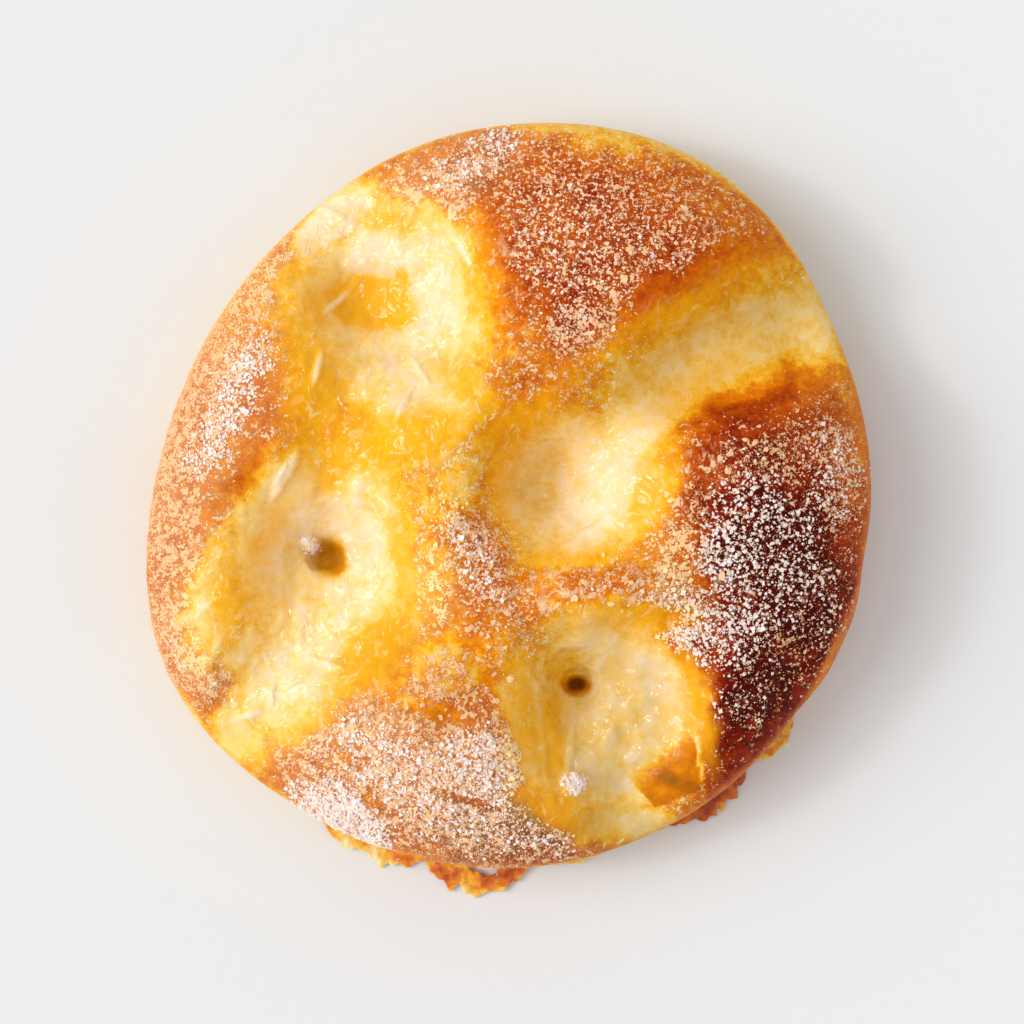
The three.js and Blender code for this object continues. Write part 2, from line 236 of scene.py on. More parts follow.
STRANDS_AND_GLINTS = [  # single strands and lumps, raised and painted bright cream; where the lumps stand on wet highlights, in the lower hollow and once in the left hollow, the bright cream is partly painted highlight
    Patch(-15.7, 22.3, 2.5, 0.55, -54, 0.5, 1),  # upper left hollow
    Patch(-18.9, 16.9, 3, 0.6, 63, 0.5, 1),
    Patch(-31.3, 50.8, 3.2, 0.8, -29, 0.6, 0.9),
    Patch(-8.6, 44.8, 3.2, 0.9, -61, 0.6, 0.9),
    Patch(-31, 35, 2.6, 0.7, 40, 0.6, 0.9),
    Patch(-12.6, 34, 4.5, 0.9, 80, 0.7, 0.8),
    Patch(-34.6, 23, 3, 0.6, 75, 0.6, 0.9),
    Patch(-40.3, 4.1, 4.6, 1, 61, 0.4, 1),  # left hollow
    Patch(-27.7, 0, 4, 1.4, 80, 0.7, 0.8),
    Patch(-35.8, -8.6, 1.5, 1.1, -20, 0.6, 1),
    Patch(-42.7, -36, 2.4, 0.7, 80, 0.5, 1),
    Patch(-46.3, -39, 2.2, 0.8, 20, 0.5, 1),
    # a wet lump with a painted highlight
    Patch(-38.3, -34.6, 1.6, 0.8, 30, 0.6, 1),
    Patch(-33, -30, 3, 0.6, -20, 0.6, 0.8),
    Patch(-58, -22, 2.6, 1.2, 10, 0.6, 1),
    Patch(-53, -28, 3.4, 0.7, 70, 0.6, 0.8),
    Patch(15.2, 1, 6, 3.6, 35, 0.9, 0.7),  # centre hollow
    Patch(13.5, 4.6, 3.6, 0.6, 28, 0.6, 0.8),
    Patch(14.5, -6, 4.2, 0.6, 35, 0.6, 0.7),
    Patch(5.6, -41, 10, 0.5, 97, 0.7, 0.3),  # lower hollow
    # wet lumps where the highlights are, their bright cream partly painted highlight
    Patch(15.8, -32.2, 2.4, 0.9, 70, 0.7, 0.6),
    Patch(17.6, -37.7, 2.6, 1.2, 40, 0.7, 0.6),
    Patch(18.4, -43.7, 3, 1.3, 75, 0.7, 0.6),
    Patch(24.2, -36.6, 2.2, 1.1, 110, 0.7, 0.6),
    Patch(22.6, -46.5, 2.4, 0.9, 60, 0.7, 0.5),
    Patch(11, -45, 6, 0.6, 84, 0.7, 0.4),
]
FROST = [  # toasted sugar crust
    Patch(-55.5, 17.5, 24, 11, 68, 0.6, 0.96),  # left rim
    Patch(-44, 39, 15, 6, 50, 0.7, 0.95),
    Patch(-60, -8, 14, 7, 90, 0.6, 1),
    Patch(-57.5, -26.5, 16, 7, -62, 0.6, 1),
    Patch(-19.6, -50, 32, 14, -25, 0.7, 1.02),  # lower left lobe
    Patch(-18, -38.6, 15, 7, 22, 0.7, 1),
    Patch(-36, -50, 9, 6, -40, 0.7, 0.92),
    Patch(-4, -45, 12, 8, -40, 0.7, 1),
    Patch(-11.5, -31, 7, 5, 0, 0.7, 0.8),
    Patch(2, -62.5, 20, 5, 3, 0.7, 0.8),  # front rim
    Patch(-13.5, -17.5, 9, 5, 88, 0.7, 1.05),  # middle ridge
    Patch(-5.5, -11.3, 17.2, 9, -62, 0.6, 0.82),
    Patch(18.2, -15.4, 16, 5, 5, 0.6, 0.76),  # bridge over the lower hollow
    Patch(30, -22, 9, 7, 40, 0.6, 0.9),
    Patch(12, 47, 30, 19, -15, 0.6, 0.6),  # top lobe
    Patch(-12, 56, 16, 7.6, 25, 0.6, 0.96),
    Patch(13, 30.5, 8, 6, 30, 0.6, 0.95),
    Patch(32, -2.5, 9, 7, 60, 0.6, 0.75),  # right lobe
    Patch(30.5, -11, 8, 6, 80, 0.6, 0.95),
    Patch(46, -34, 16, 8, 60, 0.6, 0.48),
    Patch(46, 7, 14, 6, 10, 0.6, 0.68),
    Patch(59, 4, 15, 5, 100, 0.6, 0.76),
    Patch(-13.5, 5, 12.8, 9, 40, 0.6, 0.75),
    Patch(-2, 20, 8, 6, 40, 0.6, 0.6),
]
SUGAR = [  # white sugar
    Patch(46, -8, 21, 13, 105, 0.6, 0.68),  # right lobe
    Patch(40.5, -12, 14, 8, 105, 0.8, 0.8),
    Patch(33, -23, 13, 8, -38, 0.6, 0.82),
    Patch(43, -35, 16, 9, 62, 0.6, 0.55),
    Patch(41, -24.5, 10, 8, 0, 0.7, 0.76),
    Patch(55, -16, 15, 6, 100, 0.7, 0.6),
    Patch(58, 4, 13, 7, 100, 0.6, 0.64),
    Patch(13, 47, 28, 17, -15, 0.6, 0.54),  # top lobe
    Patch(11, 33, 9, 9, 60, 0.6, 0.55),
    Patch(-7, 60, 14, 5, 22, 0.6, 0.72),
    Patch(-30, -56.5, 11, 5, -32, 0.7, 1.3),  # lower left lobe
    Patch(-17, -51, 30, 12, -25, 0.7, 0.74),
    Patch(-4, -49, 10.8, 9, -40, 0.6, 0.9),
    Patch(4, -61, 15, 5, 4, 0.6, 0.66),
    Patch(-6.5, -10.5, 18, 4.6, -62, 0.6, 0.7),  # middle ridge
    Patch(19, -16, 12, 4, 5, 0.7, 0.5),
    Patch(-50.5, 16, 18, 6, 62, 0.6, 0.8),  # left rim
    Patch(-57.4, -29, 12, 4.4, -60, 0.6, 0.6),
]
SPECKLED = [  # fine sugar
    Patch(13, 49, 33, 20, -15, 0.5, 0.79),  # top lobe
    Patch(12, 31, 9, 8, 60, 0.6, 0.84),
    Patch(49, -10, 30, 15, 102, 0.5, 0.66),  # right lobe
    Patch(45, -33, 17, 9, 60, 0.6, 0.58),
    Patch(52, 8, 13, 9, 0, 0.6, 0.7),
    Patch(-54, 16, 25, 10, 66, 0.6, 0.76),  # left rim
    Patch(-58, -20, 20, 7, 100, 0.6, 0.74),
    Patch(-16, -50, 31, 13, -22, 0.6, 0.8),  # lower left lobe
    Patch(-2, -13, 17, 10, -62, 0.6, 0.72),  # middle ridge
]
BARE = [  # crust without sugar
    Patch(37.5, 39.6, 17, 4, 24, 0.6, 0.9),  # right valley
    Patch(43, 20, 17, 4.4, 14, 0.6, 0.9),
    Patch(-46.4, 2, 4.8, 3.4, 50, 0.6, 1),  # shelf by the left hollow
    Patch(-3.4, 42, 13, 2.6, 97, 0.7, 0.6),
    Patch(-25, -26, 10, 4, 40, 0.6, 0.8),
    Patch(-14.6, -38.3, 7.5, 1.3, -21, 0.6, 1),  # cracks round the crumb lump
    Patch(-3.6, -33.4, 4.4, 1.1, -50, 0.6, 1),
    Patch(-11.5, -26.4, 6, 1.1, 8, 0.6, 0.9),
    Patch(-21, -34, 3.6, 1.1, 60, 0.6, 0.8),
    Patch(-30, -47, 4, 0.8, -30, 0.7, 0.5),  # lower left lobe
    Patch(-8, -54, 5, 0.9, -15, 0.8, 0.45),
    Patch(-24, -54, 4, 0.8, -40, 0.8, 0.4),
]
POOLS = [  # smooth glaze without shreds
    Patch(-25, 35.3, 8, 6, -10, 0.4, 1),  # upper left hollow
    Patch(7.4, -42.8, 9.4, 2.9, 92, 0.5, 1),  # lower hollow
]
DULL_SHADE = [  # painted shade: dough made duller in the deeper places of the hollows, in the right valley and in the left finger hole
    Patch(20, -41, 13, 15, 0, 0.6, 0.8),  # lower hollow
    Patch(20, -59, 9, 4, 0, 0.6, 1),
    Patch(38.9, 28, 24, 8, 26, 0.8, 0.7),  # right valley
    Patch(-22.5, -28, 7, 4, 45, 0.6, 1),  # left hollow
    Patch(-32, -10.9, 3.7, 3.1, 90, 0.5, 1.5),
]
DUSTED = [  # sugar dust between the grains
    Patch(-57, 14, 30, 12, 74, 0.6, 1),  # left rim
    Patch(-58, -24, 16, 8, -66, 0.6, 0.9),
    Patch(-44, 42, 15, 5, 50, 0.6, 0.8),
    Patch(-19, -50, 32, 14, -25, 0.6, 0.9),  # lower left lobe
    Patch(-10, 60, 18, 6, 22, 0.6, 0.8),  # back rim
    Patch(-14, -18, 8, 5, 88, 0.7, 0.8),  # middle ridge
]
SHADY_SIDE = [  # browner stretches of the side
    Patch(66, -14, 40, 16, 100, 0.5, 1),  # right
    Patch(52, -46, 32, 15, 50, 0.6, 0.95),
    Patch(2, -66, 34, 8, 0, 0.6, 0.7),  # front
]
# Where the side swells out, and where white grains lie in a clump
SWOLLEN = [Patch(59, -26, 11, 4.5, 66, 0.6, 1)]
CLUMPS = [Patch(-35.8, -8.6, 1.6, 1.1, -20, 0.5, 1), Patch(11.6, -51.5, 1.9, 1.6, 30, 0.5, 1)]
LUMPY = [  # sugar baked into lumps
    Patch(21, 41, 14, 2.6, 42, 0.6, 1),  # front edge of the top lobe
    Patch(16, 30, 6, 4, 60, 0.6, 0.8),
    Patch(46, 8.5, 12, 4, 15, 0.6, 0.9),  # back edge of the right lobe
    Patch(30, -6, 8, 6, 60, 0.6, 0.8),
    Patch(20, -16, 15, 5, 5, 0.6, 0.7),
    Patch(-6, -18, 15, 8, -60, 0.6, 0.7),
    Patch(-16, -40, 14, 7, 10, 0.6, 0.6),
]

# The golden flap of crust in the lower hollow, by its corners seen from above, the dark streak on it
# and its bright rim, and the lump of crumb at the front of the middle ridge
FLAP = [(20.4, -49.2), (31.2, -40), (33.8, -45.4), (34.7, -48.6), (34.2, -52.9), (26.3, -55.8)]
FLAP_STREAK = [Patch(29.5, -50.9, 5, 1.3, -24, 0.7, 1)]
FLAP_RIM = [Patch(34.3, -47.6, 5.4, 0.4, 98, 0.6, 0.8)]
CRUMB_LUMP = [Patch(-11.5, -31.1, 5.2, 4.2, -20, 0.35, 1)]

# Caramel that ran out at the foot: the angles that each flake spans, how far it reaches past the
# outline in millimetres, how far it is browned, and the angles of a gap in it
Flake = namedtuple("Flake", "start end reach browned gap")
FLAKES = [
    Flake(240, 258, 5.6, 0.3, None),
    Flake(256.5, 273, 8.2, 0.46, (262, 268.6)),
    Flake(276, 285, 2.4, 0.4, None),
    Flake(296, 311, 4.8, 0.66, None),
    Flake(313, 322, 4.2, 0.4, None),
]
FLAKE_GRIP = 8  # how far a flake reaches in under the outline, in millimetres
FLAKE_THICKNESS = 0.5


# Tools for modelling


def only(obj):
    """Leaves one object selected and active."""
    bpy.ops.object.select_all(action="DESELECT")
    obj.select_set(True)
    bpy.context.view_layer.objects.active = obj


def apply_modifier(obj, kind, **settings):
    """Adds a modifier with these settings and applies it."""
    only(obj)
    modifier = obj.modifiers.new(kind.title(), kind)
    for name, value in settings.items():
        setattr(modifier, name, value)
    bpy.ops.object.modifier_apply(modifier=modifier.name)


def places_of(obj):
    """The mesh's vertices as an array of points."""
    flat = np.empty(len(obj.data.vertices) * 3)
    obj.data.vertices.foreach_get("co", flat)
    return flat.reshape(-1, 3)


def normals_of(obj):
    flat = np.empty(len(obj.data.vertices) * 3)
    obj.data.vertices.foreach_get("normal", flat)
    return flat.reshape(-1, 3)


def move_to(obj, places):
    obj.data.vertices.foreach_set("co", places.ravel())
    obj.data.update()


def select_vertices(obj, chosen):
    """Selects the chosen vertices, ready for edit mode."""
    only(obj)
    bpy.ops.object.mode_set(mode="EDIT")
    bpy.ops.mesh.select_mode(type="VERT")
    bpy.ops.mesh.select_all(action="DESELECT")
    bpy.ops.object.mode_set(mode="OBJECT")
    obj.data.vertices.foreach_set("select", chosen)
    bpy.ops.object.mode_set(mode="EDIT")


def fade(value, start, end):
    """0 before start, 1 after end, and smooth between."""
    share = np.clip((value - start) / (end - start), 0, 1)
    return share * share * (3 - 2 * share)


SLOPES = np.random.default_rng(SEED).normal(size=(1024, 3))
SLOPES /= np.linalg.norm(SLOPES, axis=1)[:, None]
CELL_PRIMES = np.array((73856093, 19349663, 83492791))
SLOPE_GAIN = 1.6
FLATTENED = np.array((1, 1, 0.4))  # so that noise on a slope isn't drawn out into rings


def bumps(places, length, slice_at=0.0):
    """Smooth noise from about -1 to 1, with about this length from bump to bump."""
    scaled = places / length + slice_at
    cell = np.floor(scaled).astype(np.int64)
    inside = scaled - cell
    ease = inside**3 * (inside * (inside * 6 - 15) + 10)
    total = np.zeros(len(places))
    for corner in np.ndindex(2, 2, 2):
        mixed = (cell + corner) * CELL_PRIMES
        picked = (mixed[:, 0] ^ mixed[:, 1] ^ mixed[:, 2]) % len(SLOPES)
        height = ((inside - corner) * SLOPES[picked]).sum(1)
        total += height * np.where(np.array(corner, bool), ease, 1 - ease).prod(1)
    return total * SLOPE_GAIN


def paint(obj, name, values):
    """Stores a value for each vertex, for the materials to read."""
    layer = obj.data.attributes.new(name, "FLOAT", "POINT")
    layer.data.foreach_set("value", values.astype(np.float32))


def painted(obj, name):
    values = np.empty(len(obj.data.vertices), np.float32)
    obj.data.attributes[name].data.foreach_get("value", values)
    return values.astype(float)


def seen_from_above(places):
    """Where the camera sees each place, in millimetres from the dough's middle on the widest plane."""
    flat = places[:, :2] - np.array(dough_middle[:2])
    middle = np.array(PICTURE_MIDDLE)
    nearer = CAMERA_DISTANCE / (CAMERA_DISTANCE - (places[:, 2:] - WIDEST_HEIGHT))
    return ((flat - middle) * nearer + middle) / MM


def cover(seen, patches):
    """The strongest patch's effect at each place."""
    most = np.zeros(len(seen))
    for patch in patches:
        turn = math.radians(patch.turn)
        x = seen[:, 0] - patch.x
        y = seen[:, 1] - patch.y
        along = x * math.cos(turn) + y * math.sin(turn)
        across = y * math.cos(turn) - x * math.sin(turn)
        away = np.hypot(along / patch.long, across / patch.wide)
        most = np.maximum(most, patch.amount * fade(away, 1 + patch.soft, 1 - patch.soft))
    return most


def uneven(places, seen, pushes):
    """The places seen, pushed about so that the patches' outlines wander as baking leaves them."""
    wander = np.zeros_like(seen)
    for length, push in pushes:
        wander[:, 0] += push * bumps(places / MM, length, 3.7)
        wander[:, 1] += push * bumps(places / MM, length, 11.3)
    return seen + wander


WIDE_WANDER = ((13, 1.6), (6, 1.5), (2.7, 0.9), (1.2, 0.45))
BAND_WANDER = ((6, 0.7), (2.7, 0.6), (1.2, 0.35))
FINE_WANDER = ((3, 0.3),)


def on_flap(seen):
    """1 on the flap and 0 off it, with its first side fading out into the hollow."""
    share = np.ones(len(seen))
    fading = 7
    for (x, y), (next_x, next_y) in zip(FLAP, FLAP[1:] + FLAP[:1]):
        length = math.hypot(next_x - x, next_y - y)
        inward = ((next_y - y) * (seen[:, 0] - x) - (next_x - x) * (seen[:, 1] - y)) / length
        share *= fade(inward, -0.2, fading)
        fading = 0.2
    return share


# The dough


def outline_at(angles):
    """Radius of the dough's widest outline at each angle, measured on the solid."""
    solid = places_of(frame["nodes"]["brioche"]) - np.array(dough_middle)
    side = solid[np.abs(solid[:, 2] - WIDEST_HEIGHT) < 5 * MM]
    around = np.degrees(np.arctan2(side[:, 1], side[:, 0])) % 360
    step = 6
    sectors = np.arange(0, 360, step)
    radius = np.hypot(side[:, 0], side[:, 1])
    widest = [radius[np.abs((around - at + 180) % 360 - 180) < step].max() for at in sectors]
    return np.interp(np.degrees(angles), sectors, widest, period=360)


def beyond_foot(places):
    """How far each place lies outside the dough's foot, which tucks in under its widest outline."""
    flat = places - np.array(dough_middle)
    outline = outline_at(np.arctan2(flat[:, 1], flat[:, 0]))
    drop = np.clip(1 - flat[:, 2] / WIDEST_HEIGHT, 0, 1)
    foot = outline - FOOT_TUCK * (1 - np.sqrt(1 - drop * drop))
    return np.hypot(flat[:, 0], flat[:, 1]) - foot


def raise_dough():
    """The solid's own form, smoothed and remeshed finely, without the flakes at its foot."""
    only(frame["nodes"]["brioche"])
    bpy.ops.object.duplicate()
    dough = bpy.context.view_layer.objects.active
    dough.name = "dough"
    del dough["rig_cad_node"]
    bpy.ops.object.mode_set(mode="EDIT")
    bpy.ops.mesh.select_all(action="SELECT")
    bpy.ops.mesh.remove_doubles(threshold=0.001 * MM)
    bpy.ops.object.mode_set(mode="OBJECT")

    places = places_of(dough)
    select_vertices(dough, (places[:, 2] < 2.6 * MM) & (beyond_foot(places) > 0.35 * MM))
    bpy.ops.mesh.delete(type="VERT")
    bpy.ops.mesh.select_all(action="SELECT")
    bpy.ops.mesh.fill_holes(sides=0)
    bpy.ops.mesh.quads_convert_to_tris()
    bpy.ops.object.mode_set(mode="OBJECT")

    places = places_of(dough)
    places[:, 2] += hole_lifts(places, seen_from_above(places)) * MM
    move_to(dough, places)
    apply_modifier(dough, "REMESH", mode="VOXEL", voxel_size=CRUST_CELL)
    apply_modifier(dough, "SMOOTH", factor=0.5, iterations=18)
    funnel = cover(seen_from_above(places_of(dough)), FUNNELS + HOLES)
    group = dough.vertex_groups.new(name="funnel")
    for vertex in np.flatnonzero(funnel):
        group.add([int(vertex)], funnel[vertex], "REPLACE")
    apply_modifier(dough, "SMOOTH", factor=0.5, iterations=20, vertex_group="funnel")
    dough.vertex_groups.clear()
    return dough


def refine_hollows(dough):
    """Splits the faces of the moist hollows once more, for their finer wrinkles."""
    places = places_of(dough)
    seen = uneven(places, seen_from_above(places), WIDE_WANDER)
    moist = (cover(seen, WET) > 0.5) & (normals_of(dough)[:, 2] > 0.1)
    select_vertices(dough, moist)
    bpy.ops.mesh.subdivide(number_cuts=1, smoothness=0, ngon=False)
    bpy.ops.object.mode_set(mode="OBJECT")


def flecks(places, length):
    """Short raised shreds, lying along the hollows in one place and across them in another."""
    upright = bumps(places * np.array((1, 0.42, 0.7)), length, 21.7)
    leaning = bumps(places @ np.array(((0.8, 0.3, 0), (-0.6, 0.4, 0), (0, 0, 0.7))), length, 5.9)
    share = fade(bumps(places, length * 5, 33.3), -0.2, 0.2)
    return fade(upright * share + leaning * (1 - share), 0.05, 0.5)


def hole_lifts(places, picture):
    """How far each place in a finger hole is lifted towards the dough round it, in millimetres."""
    lifts = np.zeros(len(places))
    for hole in HOLES:
        away = np.hypot((picture[:, 0] - hole.x) / hole.long, (picture[:, 1] - hole.y) / hole.wide)
        high = places[:, 2] > WIDEST_HEIGHT / 2
        level = np.median(places[high & (away > 1.3) & (away < 1.8), 2])
        inside = high & (away < 1.3)
        lifts[inside] = (1 - hole.amount) * np.clip((level - places[inside, 2]) / MM, 0, None)
    return lifts


def shape_crust(dough):
    """Crust plates and crags under the sugar, and lumps, shreds and strands in the moist hollows."""
    places = places_of(dough)
    normals = normals_of(dough)
    millimetres = places * FLATTENED / MM
    picture = seen_from_above(places)
    seen = uneven(places, picture, WIDE_WANDER)
    exact = uneven(places, picture, FINE_WANDER)
    top = fade(normals[:, 2], 0.05, 0.5)
    wet = cover(seen, WET) * top
    frost = np.clip(cover(seen, FROST), 0, 1) * top * (1 - wet)
    flap = on_flap(exact) * top
    crumb = cover(seen, CRUMB_LUMP) * top
    lumps = 0.4 * bumps(millimetres, 3.8, 2.2) + 0.16 * bumps(millimetres, 1.8, 6.1)
    lumps += 0.06 * bumps(millimetres, 1.1, 9.6)
    shredded = wet * (1 - flap) * (0.1 + 0.9 * cover(seen, SHREDDED))
    shredded = np.maximum(shredded, 0.7 * cover(seen, AMBER) * top) * (1 - 0.8 * cover(seen, POOLS))
    shredded = np.maximum(shredded, cover(seen, FLECKED) * top * (1 - 0.5 * wet))
    shreds = np.maximum(flecks(millimetres, 2.1), 0.6 * flecks(millimetres, 1.2)) * shredded
    strands = cover(exact, STRANDS_AND_GLINTS) * top
    # No shreds where the finger holes have painted shade
    hole = cover(picture, HOLE_SHADE)
    plates = fade(bumps(millimetres, 3.4, 8.8) + 0.6 * bumps(millimetres, 1.6, 4.4), -0.15, 0.2)
    crags = 0.34 * plates + 0.14 * bumps(millimetres, 1.3, 14.9)
    height = wet * (1 - 0.8 * flap) * lumps + SHRED_HEIGHT * shreds + frost * crags
    height += STRAND_HEIGHT * strands + FLAP_HEIGHT * flap + 0.05 * bumps(millimetres, 2.4, 17.3) * top
    height += SWELLING * cover(picture, SWOLLEN) * fade(places[:, 2], 1 * MM, 6 * MM)
    height += CLUMP_HEIGHT * cover(picture, CLUMPS) * top
    height += crumb * (CRUMB_HEIGHT + 0.5 * bumps(millimetres, 2.1, 25.1))
    height -= FUNNEL_DEPTH * cover(picture, FUNNELS) * top
    moved = places + normals * (height * MM)[:, None]
    move_to(dough, moved)
    paint(dough, "shredded", shredded * (1 - hole))
    paint(dough, "hump", lumps * wet)


def colour_dough(dough):
    """Paints how far each place has browned, with painted shade in the hollows, the valley and the
    finger holes, and how moist, amber and sugary it is.
    """
    places = places_of(dough)
    normals = normals_of(dough)
    millimetres = places * FLATTENED / MM
    picture = seen_from_above(places)
    seen = uneven(places, picture, WIDE_WANDER)
    exact = uneven(places, picture, FINE_WANDER)
    top = fade(normals[:, 2], 0.0, 0.35)
    flap = on_flap(exact) * top
    pale = cover(seen, PALE)
    browned = CRUST_BAKE + cover(seen, DARK)
    browned += 0.07 * bumps(millimetres, 11, 1.9) + 0.06 * bumps(millimetres, 4, 7.7)
    moist = MOIST_BAKE + 0.07 * bumps(millimetres, 6, 12.2) + 0.05 * bumps(millimetres, 2.4, 18.4)
    # Painted shade: a deeper yellow on the hollows' shaded walls and in the right valley
    moist += 0.13 * cover(picture, SHADED)
    bake = browned * (1 - pale) + np.clip(moist, 0, 1) * pale
    flap_bake = FLAP_BAKE + 0.28 * cover(exact, FLAP_STREAK) + 0.1 * bumps(millimetres, 2, 6.6)
    bake = bake * (1 - flap) + flap_bake * flap
    # Painted shade in the finger holes: browner, darkest in their core, with some amber and without the
    # wet coat
    hole = cover(exact, HOLE_SHADE) * fade(normals[:, 2], -0.3, 0.1)
    bake = bake * (1 - hole) + (HOLE_SHADE_BAKE + 0.4 * cover(exact, HOLE_SHADE_CORE)) * hole
    wet = cover(seen, WET) * top
    dip = fade(painted(dough, "hump"), 0.05, -0.35)
    banded = cover(uneven(places, picture, BAND_WANDER), AMBER)
    amber = np.maximum(banded, 0.28 * dip * wet) * top
    amber = np.maximum(np.maximum(amber, 0.4 * hole) * (1 - flap), 0.25 * flap)
    bake = np.maximum(bake, AMBER_BAKE * fade(amber, 0.2, 0.8))
    # Bright cream on the flap's rim and the strands, partly painted highlight on the wet lumps
    bright = np.maximum(cover(exact, FLAP_RIM), cover(exact, STRANDS_AND_GLINTS)) * top
    bake = bake * (1 - bright) + BRIGHT_BAKE * bright
    amber *= 1 - bright
    crumb = cover(seen, CRUMB_LUMP) * top
    bake = bake * (1 - crumb) + (CRUMB_BAKE + 0.12 * bumps(millimetres, 1.8, 2.9)) * crumb
    side = fade(beyond_foot(places) / MM + 0.6 * bumps(millimetres, 6, 3.3), -2.4, -0.2)
    side_bake = SIDE_BAKE + 0.33 * cover(picture, SHADY_SIDE)
    side_bake += 0.06 * fade(places[:, 2], 6 * MM, 14 * MM)
    side_bake += 0.05 * bumps(millimetres, 9, 3.3)
    bake = bake * (1 - side) + side_bake * side
    under = fade(normals[:, 2], -0.5, -0.9)
    bake = bake * (1 - under) + (UNDERSIDE_BAKE + 0.12 * bumps(millimetres, 14, 5.1)) * under
    clear = (1 - fade(pale, 0.4, 0.85)) * (1 - flap) * (1 - cover(seen, BARE))
    clear *= 1 - 0.85 * fade(amber, 0.2, 0.8)
    clear *= 1 - 0.8 * fade(wet, 0.4, 0.9)
    crown = fade(normals[:, 2], 0.2, 0.6)
    edge = fade(normals[:, 2], -0.35, 0.15)
    frost = np.maximum(cover(seen, FROST) * edge, (0.64 - 0.6 * cover(seen, DARK)) * crown) * clear
    sugar = np.maximum(cover(seen, SUGAR) * edge, 0.4 * crown) * clear
    dust = np.maximum(cover(seen, DUSTED) * edge * clear, 0.5 * side * cover(picture, SHADY_SIDE))
    bake += 0.1 * fade(np.maximum(frost, sugar), 0.5, 0.9) + 0.05 * dust * (1 - side)
    paint(dough, "bake", np.clip(bake, 0, 1))
    paint(dough, "wet", wet * (1 - 0.85 * flap) * (1 - hole))
    paint(dough, "amber", amber)
    paint(dough, "frost", frost)
    paint(dough, "sugar", sugar)
    paint(dough, "dust", dust)
    paint(dough, "specks", np.maximum(sugar, cover(seen, SPECKLED) * edge * clear))
    off_clumps = 1 - fade(cover(picture, CLUMPS), 0, 0.2)
    paint(dough, "soaked", np.clip(np.maximum(1.2 * pale, amber), 0, 1) * off_clumps)
    # Painted shade that makes the deep places duller
    paint(dough, "dull_shade", cover(exact, DULL_SHADE))


def flatten_base(dough):
    """Joins the flat underside's faces into a few."""
    flat = (places_of(dough)[:, 2] < 0.15 * MM) & (normals_of(dough)[:, 2] < -0.99)
    select_vertices(dough, flat)
    bpy.ops.mesh.dissolve_limited(angle_limit=math.radians(1))
    bpy.ops.object.mode_set(mode="OBJECT")


# Sugar


def shape_of(add, **settings):
    """The points and faces of a primitive, to be repeated as grains."""
    bpy.ops.object.select_all(action="DESELECT")
    add(**settings)
    sample = bpy.context.view_layer.objects.active
    points = places_of(sample)
    faces = np.array([tuple(polygon.vertices) for polygon in sample.data.polygons])
    bpy.data.objects.remove(sample)
    return points / np.abs(points).max(), faces


def new_piece(name, vertices, faces):
    mesh = bpy.data.meshes.new(name)
    mesh.from_pydata(vertices.tolist(), [], faces.tolist())
    mesh.update()
    piece = bpy.data.objects.new(name, mesh)
    bpy.context.scene.collection.objects.link(piece)
    return piece


def surface_triangles(dough):
    """The dough's triangles: the vertices of each, its corners' places and its area with direction."""
    mesh = dough.data
    mesh.calc_loop_triangles()
    corners = np.empty(len(mesh.loop_triangles) * 3, int)
    mesh.loop_triangles.foreach_get("vertices", corners)
    corners = corners.reshape(-1, 3)
    places = places_of(dough)[corners]
    across = np.cross(places[:, 1] - places[:, 0], places[:, 2] - places[:, 0])
    return corners, places, across


def scatter(dough, name, shape, kind, density):
    """Grains lying on the dough, more or less in chains, so many for each square millimetre."""
    spread = 0.36  # of the logarithm of the size
    off_chains = 0.64  # share of the tries that miss the chains
    proud = 0.35  # share of its half height that a grain's middle stands above the dough
    size = kind.size
    chained = kind.chained
    random = np.random.default_rng(kind.seed)
    corners, places, across = surface_triangles(dough)
    area = np.linalg.norm(across, axis=1)
    expected = area / 2 / MM**2 * density[corners].mean(1)
    tries = round(expected.sum() / (1 - off_chains * chained))
    picked = random.choice(len(corners), tries, p=expected / expected.sum())
    share = random.dirichlet((1, 1, 1), tries)
    where = (places[picked] * share[:, :, None]).sum(1)
    chain = fade(np.abs(bumps(where / MM, 1.5, 5.5) + 0.5 * bumps(where / MM, 0.7, 15.5)), 0.45, 0.08)
    kept = random.uniform(size=tries) < 1 - chained + chained * (chain + 0.04)
    where = where[kept]
    up = across[picked[kept]] / area[picked[kept], None]
    count = len(where)

    spin = random.normal(size=(count, 3))
    first = np.cross(up, spin)
    first /= np.linalg.norm(first, axis=1)[:, None]
    second = np.cross(up, first)
    tilt = random.uniform(-0.6, 0.6, (count, 1))
    lifted = up * np.cos(tilt) + first * np.sin(tilt)
    first = first * np.cos(tilt) - up * np.sin(tilt)

    points, faces = shape
    width = np.clip(random.lognormal(math.log(size), spread, (count, 1, 1)), size * 0.5, size * 2.2)
    stretch = random.uniform(0.7, 1.2, (count, 1, 3)) * np.array((1, 1, kind.flatness))
    worn = random.uniform(1 - kind.rough, 1.05, (count, len(points), 1))
    grain = points * width * stretch * worn * MM / 2
    height = np.abs(grain[:, :, 2]).max(1)
    middle = where + up * (height * proud)[:, None]
    axes = np.stack([first, second, lifted], 1)
    vertices = np.einsum("gcx,gxy->gcy", grain, axes) + middle[:, None, :]
    repeated = faces[None] + len(points) * np.arange(count)[:, None, None]
    piece = new_piece(name, vertices.reshape(-1, 3), repeated.reshape(-1, faces.shape[1]))
    soaked = painted(dough, "soaked")[corners[picked[kept]]].mean(1)
    paint(piece, "soaked", np.repeat(soaked, len(points)))
    return piece


# Caramel at the foot


